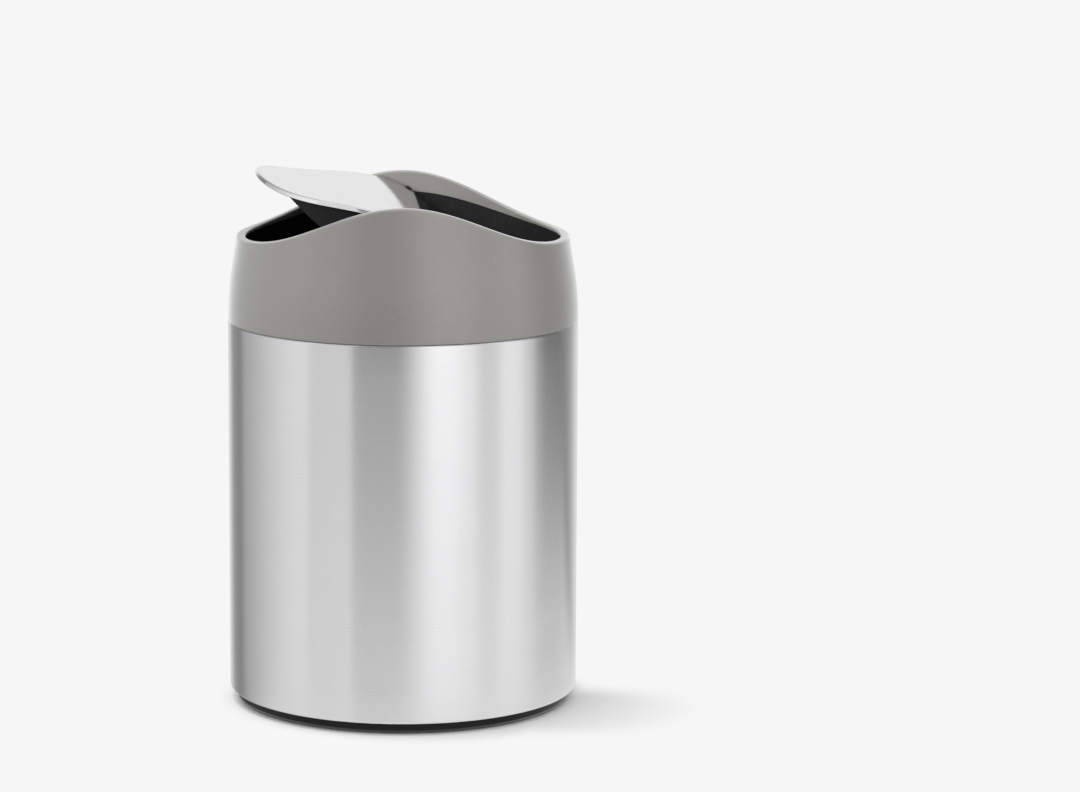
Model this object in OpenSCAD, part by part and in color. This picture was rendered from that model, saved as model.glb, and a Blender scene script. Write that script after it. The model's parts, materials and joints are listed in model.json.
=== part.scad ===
// Push top countertop bin: a steel body with a plastic can inside, a wavy plastic collar that
// lifts off, and a polished lid that see-saws on two pins and swings back level by its weight.
// Millimetres. X runs from the raised wing of the lid to the pressed wing, Y from front to back,
// Z up from the surface that the bin stands on. The pins lie along Y.

/* [Body] */
// Outside diameter of the steel body
body_d = 122; // [100:1:150]
// Height of the seam where the collar meets the steel body
seam_h = 134.4; // [110:0.1:170]
// Height of the black foot that shows below the steel
foot_h = 4; // [3.4:0.1:6]
// Sheet thickness of the steel body
sleeve_wall = 0.6; // [0.4:0.1:1]
// Outside radius of the rounded steel edges
sleeve_edge_r = 1; // [0.9:0.1:2]
// Width of the flange turned in at the bottom of the steel
sleeve_hem_w = 4.5; // [3.5:0.1:7]
// Width of the lip turned in at the top of the steel
sleeve_lip_w = 2.1; // [1.6:0.1:2.4]

/* [Inner can] */
// Wall of the plastic can
can_wall = 1.8; // [1.4:0.1:2.2]
// Floor of the plastic can
can_floor = 1.8; // [1.4:0.1:3]
// Depth of the hollow under the floor, where the screw bosses stand
can_foot_h = 2.4; // [2:0.1:8]

/* [Base] */
// How far the foot is set in from the steel
foot_inset = 2.4; // [1.8:0.1:3.2]
// Width of the thick rim of the base cap
foot_rim_w = 8.6; // [8:0.1:14]
// Thickness of the thin middle of the base cap
base_web = 1.6; // [1.2:0.1:2]
// How far the grip ring stands out below the base cap
grip_out = 0.6; // [0.4:0.1:1]
// Depth of the groove that holds the grip ring
grip_seat = 1.2; // [0.8:0.1:1.8]
// Width of the grip ring
grip_w = 5.1; // [4:0.1:6]
// Circle on which the base screws stand, as a diameter
base_screw_circle = 80; // [50:1:88]
// Number of base screws
base_screw_n = 3; // [3:1:6]
// Thread diameter of the base screws
base_screw_d = 3; // [2.5:0.1:4]
// Outside diameter of the screw bosses under the can
base_boss_d = 8; // [6.5:0.1:10]

/* [Collar] */
// Height of the rim crest above the seam
rim_rise = 45.3; // [40:0.1:52]
// Height of the wave in the rim, from its low points to its crests
rim_wave_h = 15.7; // [10:0.1:20]
// Length of the wave in the rim
rim_wave_l = 110.4; // [95:0.1:112]
// Fullness of the crests, where 1 is a plain cosine and less is fuller
rim_wave_p = 0.9; // [0.7:0.05:1.2]
// Radius of the curve that bends the side inwards above the seam
collar_curve_r = 118; // [110:1:200]
// Height of that curve, above which the side runs straight
collar_curve_h = 19; // [14:0.5:22]
// Wall of the grey lip at the rim
lip_wall = 3; // [2.8:0.1:3.4]
// Wall of the grey shell below the lip
shell_wall = 1.4; // [1.1:0.1:1.5]
// Depth of the grey lip inside, at the crests
lip_crest_drop = 7.8; // [6.8:0.1:8.6]
// Depth of the grey lip inside, at the low points
lip_low_drop = 1.6; // [1.2:0.1:4]

/* [Inner ring] */
// Length of the plug that reaches into the can
plug_len = 14.3; // [10:0.1:20]
// Wall of the plug
plug_wall = 1.8; // [1.5:0.1:2.2]
// Height above the seam of the flange that carries the shell
flange_rise = 3; // [2.4:0.1:5]
// Thickness of that flange
flange_t = 1.6; // [1.2:0.1:2.4]
// Number of snap lugs inside the shell
lug_n = 6; // [4:1:8]
// Arc taken by each snap lug, in degrees
lug_arc = 14; // [8:1:24]
// Height of the seal ring
seal_h = 4; // [3:0.1:6]
// Depth of the groove for the seal ring
seal_seat = 0.8; // [0.5:0.1:1.1]

/* [Lid] */
// How far the crest of the level lid lies below the rim crest
lid_sink = 5.8; // [5.2:0.1:8]
// Height of the wave in the lid, crest to tips
lid_wave_h = 15.5; // [10:0.1:16]
// Length of the wave in the lid
lid_wave_l = 107.5; // [104:0.5:118]
// Sheet thickness of the lid skin
skin_t = 0.7; // [0.5:0.1:1]
// Height of the edge turned down round the lid
skirt_h = 1.9; // [1.8:0.1:2.8]
// Tilt of the pressed lid as it is drawn, in degrees
lid_tilt = 31.5; // [0:0.5:38]
// Furthest tilt to either side, in degrees
swing_max = 40; // [39:1:44]
// How far the pins lie below the lid crest
pivot_sink = 3.3; // [3:0.1:3.6]

/* [Lid underside] */
// Depth of the belly below the pins
belly_depth = 14.5; // [13.5:0.1:17]
// Reach of the belly to each side
belly_reach = 38.5; // [36:0.5:46]
// Wall of the belly
belly_wall = 1.8; // [1.4:0.1:2.4]
// Thickness of the belly's thin side edge
belly_edge = 1.2; // [0.8:0.1:2]
// Distance of the studs from the middle, to each side
stud_x = 26; // [22:0.5:29]
// Distance of the studs from the middle, to front and back
stud_y = 24; // [21:0.5:30]
// Diameter of the studs welded under the skin
stud_d = 2.2; // [1.8:0.1:2.6]
// Length of the studs
stud_len = 8.2; // [7.6:0.1:9]

/* [Counterweight] */
// Width of the counterweight, side to side
weight_w = 16; // [13:0.5:20]
// Length of the counterweight, front to back
weight_l = 56; // [44:1:70]
// Thickness of the counterweight
weight_t = 5; // [3.5:0.1:7]
// Distance between the two weight screws
weight_screw_gap = 32; // [24:1:40]
// Diameter of the posts that pass through the counterweight
weight_post_d = 6; // [5:0.1:7]
// Thread diameter of the weight screws
weight_screw_d = 2.1; // [1.8:0.1:2.6]

/* [Pivots] */
// Diameter of the pivot pins
pin_d = 2.5; // [2:0.1:2.8]
// Length of pin held in the lid
pin_grip = 7.3; // [5:0.1:10]
// Wall of the pivot bushes
bush_wall = 0.7; // [0.5:0.1:0.8]
// Thickness of the bush flange
bush_flange_t = 0.4; // [0.3:0.1:0.5]
// Radius of the ring's ears around the bushes
ear_r = 3.6; // [3.4:0.1:4.2]
// Radius of the rubber stop under each pivot
stop_r = 4; // [3:0.1:5]
// Length of the rubber stop, front to back
stop_l = 5.5; // [4:0.1:7]
// Thickness of the ledge under each stop
ledge_t = 3; // [2.4:0.1:4]

/* [Clearances] */
// Gap between the steel body and the plastic can
can_fit = 0.2; // [0.1:0.05:0.4]
// Gap all round the plug in the can
plug_gap = 0.5; // [0.4:0.05:0.8]
// Gap all round the seal ring in the can
seal_gap = 0.2; // [0.1:0.05:0.3]
// Gap between the inner ring and the shell
ring_gap = 0.1; // [0.05:0.05:0.2]
// Gap between the lid and the grey lip, at the lid crest
lid_gap = 1.4; // [1.2:0.05:1.8]
// Gap between the lid edge and the ears of the ring
ear_gap = 0.9; // [0.8:0.05:1.1]
// Running clearance of the pins in the bushes, on the radius
pin_run = 0.05; // [0.02:0.01:0.08]
// Seat clearance of pressed and screwed pieces, on the radius
seat_gap = 0.05; // [0.02:0.01:0.1]
// Gap between the skin and the belly below it
skin_gap = 0.05; // [0.02:0.01:0.1]
// Gap between the skirt and the belly inside it
skirt_gap = 0.6; // [0.4:0.1:1]
// Gap left at each stop when the lid is tilted all the way
stop_gap = 0.3; // [0.2:0.05:0.6]
// Gap between the lip and the corners of the belly as they swing past it
swing_gap = 1.1; // [0.8:0.05:1.6]

/* [Hidden] */
$fn = 96;

// Steps in each curved outline
curve_n = 8;
wave_n = 22;
arc_n = 5;
// Cutting bodies reach this far past what they cut
past = 1;
front = -1;
rear = 1;

body_r = body_d / 2;
rim_top = seam_h + rim_rise;

// Can and base
can_r = body_r - sleeve_wall - can_fit;
can_bore_r = can_r - can_wall;
can_foot_z = foot_h + sleeve_wall;
can_under_z = can_foot_z + can_foot_h;
can_floor_z = can_under_z + can_floor;
can_top_z = seam_h - sleeve_wall - can_fit;
foot_r = body_r - foot_inset;
foot_chamfer = 0.8;
grip_r = foot_r - (foot_rim_w - grip_w) / 2;
base_screw_r = base_screw_d / 2;
base_head_r = base_screw_r + 1.6;
base_head_t = 1.4;
base_slot_w = 0.7;
screw_tip_gap = 0.3;
// Floor left whole above the blind screw holes
can_skin = can_floor / 2;
base_hole_z = can_floor_z - can_skin;
base_screw_len = base_hole_z - screw_tip_gap - foot_h + base_web;

// Collar
curve_drop = collar_curve_r - sqrt(pow(collar_curve_r, 2) - pow(collar_curve_h, 2));
side_slope = collar_curve_h / sqrt(pow(collar_curve_r, 2) - pow(collar_curve_h, 2));
curve_top = seam_h + collar_curve_h;
plug_r = can_bore_r - plug_gap;
plug_bore_r = plug_r - plug_wall;
plug_z = seam_h - plug_len;
flange_z = seam_h + flange_rise;
lug_rise = 1.3;
lug_t = flange_rise - lug_rise;
lug_reach = 1.1;
seal_z = plug_z + seal_h;
ring_top = rim_top - lip_crest_drop;
ring_wave_h = rim_wave_h - lip_crest_drop + lip_low_drop;

// Lid, drawn level about the pins and then tilted
lid_crest_z = rim_top - lid_sink;
pivot_z = lid_crest_z - pivot_sink;
lid_r = lip_r(lid_crest_z) - lid_gap;
belly_r = lid_r - skin_t - skirt_gap;
belly_end_z = skin_z(belly_reach) - skin_t - skin_gap - belly_edge;
belly_sag = belly_depth + belly_end_z;
belly_arc_r = (pow(belly_reach, 2) + pow(belly_sag, 2)) / (2 * belly_sag);
belly_swing_r = lip_r(pivot_z) - swing_gap;
stud_r = stud_d / 2;
stud_top = skin_z(stud_x) - skin_t / 2;
stud_end = stud_top - stud_len;
nut_t = 1.8;
nut_r = stud_r + 1.4;
stud_show = 0.6;
nut_seat = stud_end + stud_show + nut_t;
pocket_r = nut_r + 0.3;
post_r = pocket_r + 0.8;
weight_pad = 0.8;
weight_floor = belly_wall + weight_pad;
weight_z = weight_floor - belly_depth;
weight_top = weight_z + weight_t;
weight_screw_r = weight_screw_d / 2;
weight_head_r = weight_post_d / 2 + 1;
weight_head_t = 1.2;
weight_pad_rim = 1;

// Pivots
pin_r = pin_d / 2;
pin_in = belly_r - pin_grip;
pin_block_w = 2 * ear_r + 2;
pin_slot_gap = 0.3;
clip_t = 0.5;
clip_gap = 0.1;
clip_r = pin_r + 1.3;
clip_neck_r = pin_r - 0.3;
clip_mouth = 1.4 * clip_neck_r;
pin_head = 0.7;
pin_tail = clip_t + clip_gap + pin_head;
bush_r = pin_r + pin_run + bush_wall;
bush_flange_r = bush_r + 1;
ear_in = lid_r + ear_gap;
ear_out = ring_side_r(pivot_z);
ear_top = pivot_sink - 0.2;
end_gap = 0.1;
bush_len = ear_out - ear_in - end_gap;
pin_end = ear_in + bush_len - end_gap;
stop_drop = sqrt(pow(belly_arc_r + stop_r + stop_gap, 2)
                 - pow((belly_arc_r - belly_depth) * sin(swing_max), 2))
            - (belly_arc_r - belly_depth) * cos(swing_max);
stop_z = pivot_z - stop_drop;
stop_out = belly_r - 4.4;
stop_flat = 1;
stem_r = 1.5;
ledge_w = 2 * stop_r + 2;
ledge_web_t = 1.8;
ledge_web_h = stop_l + 5;
ledge_web_foot = 3;

// Radius of the collar's outside at height z
function side_r(z) = z <= curve_top
    ? body_r - collar_curve_r + sqrt(pow(collar_curve_r, 2) - pow(max(z, seam_h) - seam_h, 2))
    : body_r - curve_drop - side_slope * (z - curve_top);

// Radius of the inside of the grey lip at height z
function lip_r(z) = side_r(z) - lip_wall;

// Radius of the recess in the shell, and of the ring that sits in it
function recess_r(z) = side_r(z) - shell_wall;
function ring_side_r(z) = recess_r(z) - ring_gap;

// A wave of height h and length l that is level past its low points
function wave(x, h, l, p) = h * pow((1 + cos(360 * min(abs(x), l / 2) / l)) / 2, p);

function rim_z(x) = rim_top - rim_wave_h + wave(x, rim_wave_h, rim_wave_l, rim_wave_p);
function ring_z(x) = ring_top - ring_wave_h + wave(x, ring_wave_h, rim_wave_l, rim_wave_p);
function skin_z(x) = pivot_sink - lid_wave_h + wave(x, lid_wave_h, lid_wave_l, 1);

// Underside of the belly, an arc whose lowest point is under the pins
function belly_z(x) = belly_arc_r - belly_depth - sqrt(pow(belly_arc_r, 2) - x * x);

// Places across a half width w, closer steps of a wave
function across(w) = [for (i = [-wave_n : wave_n]) w * i / wave_n];

// Heights of the collar's side, from its foot to z
function side_steps(z) = concat(
    [for (i = [0 : curve_n]) seam_h + collar_curve_h * i / curve_n], [z]);

// A quarter of a rounded edge, from angle a, about the point c
function edge_arc(c, r, a) = [for (i = [0 : arc_n])
    c + r * [cos(a + 90 * i / arc_n), sin(a + 90 * i / arc_n)]];

// Carries an outline drawn in X and Z along Y
module along_y(w) rotate([90, 0, 0]) linear_extrude(height = w, center = true) children();

// Everything below the line of points, down to floor_z
module under_line(points, floor_z) {
    last = len(points) - 1;
    along_y(2 * body_d) polygon(concat(points,
        [[points[last][0], floor_z], [points[0][0], floor_z]]));
}

// A round bar along Y from y0 to y1, about the pivot axis
module bar_y(r, y0, y1) translate([0, y1, 0]) rotate([90, 0, 0]) cylinder(h = y1 - y0, r = r);

// Turns a piece drawn at the back to the front
module at_side(side) rotate([0, 0, side == front ? 180 : 0]) children();

// Sets a piece of the lid, drawn level about the pins, into its tilted place
module on_lid() translate([0, 0, pivot_z]) rotate([0, lid_tilt, 0]) children();

module around_base(n) for (i = [0 : n - 1]) rotate([0, 0, 360 * i / n + 30]) children();

module at_studs() for (x = [-stud_x, stud_x], y = [-stud_y, stud_y]) translate([x, y, 0]) children();

module at_weight_screws() for (s = [-1, 1]) translate([0, s * weight_screw_gap / 2, 0]) children();

// Brushed steel tube with its bottom turned in as a flange and its top as a lip
module body_sleeve() color([0.80, 0.81, 0.82]) {
    edge_in = sleeve_edge_r - sleeve_wall;
    edge_r0 = body_r - sleeve_edge_r;
    rotate_extrude() polygon(concat(
        [[body_r - sleeve_hem_w, foot_h]],
        edge_arc([edge_r0, foot_h + sleeve_edge_r], sleeve_edge_r, -90),
        edge_arc([edge_r0, seam_h - sleeve_edge_r], sleeve_edge_r, 0),
        [[body_r - sleeve_lip_w, seam_h], [body_r - sleeve_lip_w, seam_h - sleeve_wall]],
        [for (i = [arc_n : -1 : 0]) [edge_r0, seam_h - sleeve_edge_r]
            + edge_in * [cos(90 * i / arc_n), sin(90 * i / arc_n)]],
        [for (i = [0 : -1 : -arc_n]) [edge_r0, foot_h + sleeve_edge_r]
            + edge_in * [cos(90 * i / arc_n), sin(90 * i / arc_n)]],
        [[body_r - sleeve_hem_w, foot_h + sleeve_wall]]));
}

// Black moulded can inside the steel, with screw bosses under its floor
module inner_can() color([0.09, 0.09, 0.10]) difference() {
    edge = sleeve_edge_r;
    union() {
        rotate_extrude() polygon([
            [0, can_under_z], [can_bore_r, can_under_z], [can_bore_r, can_foot_z],
            [can_r - edge, can_foot_z], [can_r, can_foot_z + edge],
            [can_r, can_top_z - edge], [can_r - edge, can_top_z],
            [can_bore_r, can_top_z], [can_bore_r, can_floor_z], [0, can_floor_z]]);
        around_base(base_screw_n) translate([base_screw_circle / 2, 0, foot_h])
            cylinder(h = base_hole_z - foot_h, r = base_boss_d / 2);
    }
    around_base(base_screw_n) translate([base_screw_circle / 2, 0, foot_h - past])
        cylinder(h = base_hole_z - foot_h + past, r = base_screw_r + seat_gap);
}

// Black cap that closes the bottom and forms the foot
module base_cap() color([0.10, 0.10, 0.11]) difference() {
    rotate_extrude() polygon([
        [0, foot_h - base_web], [foot_r - foot_rim_w, foot_h - base_web],
        [foot_r - foot_rim_w, grip_out], [foot_r - foot_chamfer, grip_out],
        [foot_r, grip_out + foot_chamfer], [foot_r, foot_h], [0, foot_h]]);
    translate([0, 0, grip_out - past]) difference() {
        cylinder(h = grip_seat + past, r = grip_r + seat_gap);
        cylinder(h = grip_seat + past, r = grip_r - grip_w - seat_gap);
    }
    around_base(base_screw_n) translate([base_screw_circle / 2, 0, 0])
        cylinder(h = foot_h + past, r = base_screw_r + seat_gap);
}

// Pan head screws that draw the base cap up to the can
module base_screws() color([0.62, 0.63, 0.65]) around_base(base_screw_n)
    translate([base_screw_circle / 2, 0, foot_h - base_web]) difference() {
        union() {
            cylinder(h = base_screw_len, r = base_screw_r);
            translate([0, 0, -base_head_t]) cylinder(h = base_head_t, r = base_head_r);
        }
        for (a = [0, 90]) rotate([0, 0, a])
            translate([-base_screw_r, -base_slot_w / 2, -base_head_t - past])
                cube([base_screw_d, base_slot_w, past + base_head_t / 2]);
    }

// Soft ring that the bin stands on
module grip_ring() color([0.16, 0.16, 0.17]) rotate_extrude() polygon([
    [grip_r - grip_w, 0], [grip_r, 0],
    [grip_r, grip_out + grip_seat], [grip_r - grip_w, grip_out + grip_seat]]);

// Warm grey collar shell with a wavy rim, a thick lip and a thin wall below it
module collar_shell() color([0.61, 0.605, 0.58]) {
    difference() {
        rotate_extrude() polygon(concat(
            [for (z = side_steps(rim_top)) [side_r(z), z]],
            [for (i = [0 : curve_n + 1]) let (z = side_steps(rim_top)[curve_n + 1 - i])
                [lip_r(z), z]]));
        difference() {
            translate([0, 0, seam_h - past]) cylinder(h = rim_rise + 2 * past, r = body_d);
            under_line([for (x = across(body_d)) [x, rim_z(x)]], seam_h - 2 * past);
        }
        intersection() {
            rotate_extrude() polygon(concat(
                [[0, seam_h - past], [recess_r(seam_h), seam_h - past]],
                [for (z = side_steps(rim_top)) [recess_r(z), z]],
                [[0, rim_top]]));
            under_line([for (x = across(body_d)) [x, ring_z(x) + ring_gap]], seam_h - 2 * past);
        }
        for (side = [front, rear]) at_side(side) translate([0, 0, pivot_z]) ear_shape(ring_gap);
    }
    intersection() {
        translate([0, 0, flange_z - ring_gap - lug_t]) difference() {
            cylinder(h = lug_t, r = recess_r(flange_z) + shell_wall / 2);
            translate([0, 0, -past]) cylinder(h = lug_t + 2 * past, r = recess_r(flange_z) - lug_reach);
        }
        around_base(lug_n) translate([0, 0, seam_h]) rotate([0, 0, -lug_arc / 2])
            rotate_extrude(angle = lug_arc) square([body_r, rim_rise]);
    }
}

// Ear of the inner ring around a bush, grown by g where it is the pocket for it
module ear_shape(g) intersection() {
    bar_y(ear_r + g, ear_in - g, ear_out + g);
    translate([-body_r, 0, -body_r]) cube([body_d, body_d, body_r + ear_top + g]);
}

// Black ring inside the collar: its wall carries the pivots and its plug fits the can
module inner_ring() color([0.08, 0.08, 0.09]) difference() {
    union() {
        intersection() {
            rotate_extrude() polygon([
                [plug_bore_r, plug_z], [plug_r, plug_z], [plug_r, flange_z],
                [ring_side_r(flange_z), flange_z],
                [ring_side_r(flange_z), flange_z + flange_t],
                [plug_r, flange_z + flange_t], [ring_side_r(curve_top), curve_top],
                [ring_side_r(rim_top), rim_top], [lip_r(rim_top), rim_top],
                [lip_r(curve_top), curve_top], [plug_bore_r, flange_z]]);
            under_line([for (x = across(body_d)) [x, ring_z(x)]], plug_z - past);
        }
        for (side = [front, rear]) at_side(side) {
            intersection() {
                translate([0, 0, pivot_z]) ear_shape(0);
                translate([0, 0, pivot_z - body_r]) cylinder(h = body_d, r = ear_out);
            }
            stop_ledge();
        }
    }
    for (side = [front, rear]) at_side(side) {
        translate([0, 0, pivot_z]) bar_y(bush_r + seat_gap, ear_in - past, ear_out + past);
        translate([0, stop_out - stop_l / 2, stop_z - stop_flat - ledge_t - past])
            cylinder(h = ledge_t + 2 * past, r = stem_r + seat_gap);
    }
    difference() {
        translate([0, 0, seal_z]) cylinder(h = seal_h, r = plug_r + past);
        translate([0, 0, seal_z - past]) cylinder(h = seal_h + 2 * past, r = plug_r - seal_seat);
    }
}

// Ledge and web that hold a rubber stop in from the ring's wall
module stop_ledge() {
    ledge_z = stop_z - stop_flat - ledge_t;
    wall_y = plug_bore_r + plug_wall / 2;
    intersection() {
        translate([0, 0, plug_z]) cylinder(h = rim_top, r = wall_y);
        union() {
            translate([-ledge_w / 2, stop_out - stop_l - stop_flat, ledge_z])
                cube([ledge_w, body_r, ledge_t]);
            for (x = [-ledge_w / 2, ledge_w / 2 - ledge_web_t]) translate([x, 0, 0])
                rotate([90, 0, 90]) linear_extrude(height = ledge_web_t) polygon([
                    [stop_out - stop_l, ledge_z], [body_r, ledge_z],
                    [body_r, ledge_z - ledge_web_h],
                    [wall_y - ledge_web_foot, ledge_z - ledge_web_h]]);
        }
    }
}

// Soft ring that holds the collar in the can by friction
module seal_ring() color([0.17, 0.17, 0.18]) rotate_extrude() polygon([
    [plug_r - seal_seat + seat_gap, seal_z + seat_gap], [plug_r, seal_z + seat_gap],
    [can_bore_r - seal_gap, seal_z + seal_h / 4], [can_bore_r - seal_gap, seal_z + seal_h * 0.6],
    [plug_r, seal_z + seal_h - seat_gap], [plug_r - seal_seat + seat_gap, seal_z + seal_h - seat_gap]]);

// Flanged plastic bush that a pivot pin turns in
module pivot_bush(side) color([0.90, 0.89, 0.84]) at_side(side) translate([0, 0, pivot_z])
    difference() {
        union() {
            bar_y(bush_r, ear_in - bush_flange_t, ear_in + bush_len);
            bar_y(bush_flange_r, ear_in - bush_flange_t, ear_in);
        }
        bar_y(pin_r + pin_run, ear_in - past, ear_in + bush_len + past);
    }

// Rubber stop with a round top and a stem through its ledge
module stop_bumper(side) color([0.14, 0.14, 0.15]) at_side(side) translate([0, 0, stop_z]) union() {
    intersection() {
        bar_y(stop_r, stop_out - stop_l, stop_out);
        translate([-stop_r, 0, -stop_flat]) cube([2 * stop_r, body_r, 2 * stop_r]);
    }
    translate([0, stop_out - stop_l / 2, -stop_flat - ledge_t]) cylinder(h = ledge_t + past, r = stem_r);
}

// Polished steel skin of the lid: a waved disc with its edge turned down and four studs below
module lid_skin() color([0.86, 0.87, 0.88]) on_lid() {
    deep = lid_wave_h + 2 * skirt_h;
    difference() {
        intersection() {
            translate([0, 0, -deep]) cylinder(h = 2 * deep, r = lid_r);
            along_y(body_d) polygon(concat(
                [for (x = across(body_r)) [x, skin_z(x)]],
                [for (x = across(body_r)) [-x, skin_z(x) - skirt_h]]));
        }
        intersection() {
            translate([0, 0, -2 * deep]) cylinder(h = 4 * deep, r = lid_r - skin_t);
            under_line([for (x = across(body_r)) [x, skin_z(x) - skin_t]], -2 * deep);
        }
        for (side = [front, rear]) at_side(side) bar_y(pin_r + pin_slot_gap, belly_r, body_r);
    }
    at_studs() translate([0, 0, stud_end]) cylinder(h = stud_len, r = stud_r);
}

// Black underside of the lid: a hollow belly with posts for the studs, the pins and the weight
module lid_belly() color([0.07, 0.07, 0.08]) on_lid() difference() {
    top = [for (x = across(belly_reach)) [x, skin_z(x) - skin_t - skin_gap]];
    inner_reach = belly_reach - 2 * belly_wall;
    intersection() {
        translate([0, 0, -2 * belly_depth]) cylinder(h = 4 * belly_depth, r = belly_r);
        sphere(r = belly_swing_r);
        difference() {
            union() {
                difference() {
                    along_y(body_d) polygon(concat(top,
                        [for (x = across(belly_reach)) [-x, belly_z(x)]]));
                    intersection() {
                        translate([0, 0, -2 * belly_depth])
                            cylinder(h = 4 * belly_depth, r = belly_r - belly_wall);
                        along_y(body_d) polygon(concat(
                            [for (x = across(inner_reach)) [x, pivot_sink + past]],
                            [for (x = across(inner_reach))
                                [-x, min(belly_z(x) + belly_wall, skin_z(x) - skin_t - skin_gap)]]));
                    }
                }
                intersection() {
                    under_line(top, -2 * belly_depth);
                    difference() {
                        union() {
                            at_studs() translate([0, 0, -2 * belly_depth])
                                cylinder(h = 3 * belly_depth, r = post_r);
                            for (side = [front, rear]) at_side(side)
                                translate([-pin_block_w / 2, pin_in, -2 * belly_depth])
                                    cube([pin_block_w, pin_grip, 3 * belly_depth]);
                            translate([-weight_w / 2 - weight_pad_rim,
                                       -weight_l / 2 - weight_pad_rim, -2 * belly_depth])
                                cube([weight_w + 2 * weight_pad_rim,
                                      weight_l + 2 * weight_pad_rim, 2 * belly_depth + weight_z]);
                            at_weight_screws() translate([0, 0, -2 * belly_depth])
                                cylinder(h = 2 * belly_depth + weight_top, r = weight_post_d / 2);
                        }
                        difference() {
                            translate([-body_r, -body_r, -4 * belly_depth])
                                cube([body_d, body_d, 4 * belly_depth]);
                            along_y(body_d) polygon(concat(
                                [[-belly_reach, pivot_sink + past], [belly_reach, pivot_sink + past]],
                                [for (x = across(belly_reach)) [-x, belly_z(x)]]));
                        }
                    }
                }
            }
            at_studs() translate([0, 0, -2 * belly_depth])
                cylinder(h = 3 * belly_depth, r = stud_r + seat_gap);
            at_studs() translate([0, 0, -2 * belly_depth])
                cylinder(h = 2 * belly_depth + nut_seat, r = pocket_r);
            at_weight_screws() translate([0, 0, weight_z])
                cylinder(h = weight_t + past, r = weight_screw_r + seat_gap);
            for (side = [front, rear]) at_side(side)
                bar_y(pin_r + seat_gap, pin_in - past, belly_r + past);
        }
    }
}

// Steel bar low in the belly that swings the lid back level
module counterweight() color([0.45, 0.46, 0.48]) on_lid() difference() {
    translate([-weight_w / 2, -weight_l / 2, weight_z]) cube([weight_w, weight_l, weight_t]);
    at_weight_screws() translate([0, 0, weight_z - past])
        cylinder(h = weight_t + 2 * past, r = weight_post_d / 2 + seat_gap);
}

// Washer head screws that hold the counterweight on its posts
module weight_screws() color([0.62, 0.63, 0.65]) on_lid() at_weight_screws() union() {
    translate([0, 0, weight_top]) cylinder(h = weight_head_t, r = weight_head_r);
    translate([0, 0, weight_z + past]) cylinder(h = weight_t, r = weight_screw_r);
}

// Hex nuts on the studs, sunk into the belly
module stud_nuts() color([0.62, 0.63, 0.65]) on_lid() at_studs() translate([0, 0, nut_seat - nut_t])
    difference() {
        cylinder(h = nut_t, r = nut_r, $fn = 6);
        translate([0, 0, -past]) cylinder(h = nut_t + 2 * past, r = stud_r + seat_gap);
    }

// Pivot pin with a neck for its clip
module pivot_pin(side) color([0.70, 0.71, 0.73]) on_lid() at_side(side) difference() {
    bar_y(pin_r, pin_in - pin_tail, pin_end);
    difference() {
        bar_y(pin_r + past, pin_in - clip_gap - clip_t, pin_in - clip_gap);
        bar_y(clip_neck_r, pin_in - pin_tail - past, pin_end);
    }
}

// Spring clip that keeps a pin from sliding out
module pin_clip(side) color([0.30, 0.31, 0.33]) on_lid() at_side(side) difference() {
    bar_y(clip_r, pin_in - clip_gap - clip_t + seat_gap, pin_in - clip_gap - seat_gap);
    bar_y(clip_neck_r + seat_gap, pin_in - pin_tail, pin_in);
    translate([-clip_mouth / 2, pin_in - pin_tail, 0]) cube([clip_mouth, pin_tail, clip_r + past]);
}

body_sleeve();
inner_can();
base_cap();
base_screws();
grip_ring();
collar_shell();
inner_ring();
seal_ring();
pivot_bush(front);  // pivot_bush_front
pivot_bush(rear);  // pivot_bush_rear
stop_bumper(front);  // stop_bumper_front
stop_bumper(rear);  // stop_bumper_rear
lid_skin();
lid_belly();
counterweight();
weight_screws();
stud_nuts();
pivot_pin(front);  // pivot_pin_front
pivot_pin(rear);  // pivot_pin_rear
pin_clip(front);  // pin_clip_front
pin_clip(rear);  // pin_clip_rear
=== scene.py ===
import json
import math

import bmesh
import bpy
import numpy as np
from bpy.props import FloatProperty, FloatVectorProperty, PointerProperty
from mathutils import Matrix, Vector


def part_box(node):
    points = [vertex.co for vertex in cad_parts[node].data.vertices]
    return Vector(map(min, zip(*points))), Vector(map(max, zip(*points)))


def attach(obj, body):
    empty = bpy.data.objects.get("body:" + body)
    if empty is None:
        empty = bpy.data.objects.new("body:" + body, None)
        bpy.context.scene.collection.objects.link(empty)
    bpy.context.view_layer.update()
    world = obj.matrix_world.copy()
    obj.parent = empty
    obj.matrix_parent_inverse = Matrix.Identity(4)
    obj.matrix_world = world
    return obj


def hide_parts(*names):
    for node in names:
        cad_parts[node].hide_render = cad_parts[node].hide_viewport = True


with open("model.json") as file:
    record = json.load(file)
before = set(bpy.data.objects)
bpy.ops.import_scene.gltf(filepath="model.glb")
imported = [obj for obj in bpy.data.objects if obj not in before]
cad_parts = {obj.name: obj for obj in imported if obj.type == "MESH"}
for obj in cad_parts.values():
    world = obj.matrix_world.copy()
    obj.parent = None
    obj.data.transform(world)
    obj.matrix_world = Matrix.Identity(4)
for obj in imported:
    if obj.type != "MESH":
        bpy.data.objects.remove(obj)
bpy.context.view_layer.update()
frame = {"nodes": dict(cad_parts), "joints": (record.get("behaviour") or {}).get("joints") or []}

bl_info = {
    "name": "Push Top Bin",
    "version": (1, 0, 0),
    "blender": (4, 5, 0),
    "location": "3D View > Sidebar > Bin",
    "description": "Finishes the pieces of a small push top countertop bin and lights them",
    "category": "Add Mesh",
}

MM = 0.001
WHITE = (1.0, 1.0, 1.0, 1.0)

# Steps round the axis, for the steel body and for the collar and the lid
BODY_STEPS = 256
RIM_STEPS = 288
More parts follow.
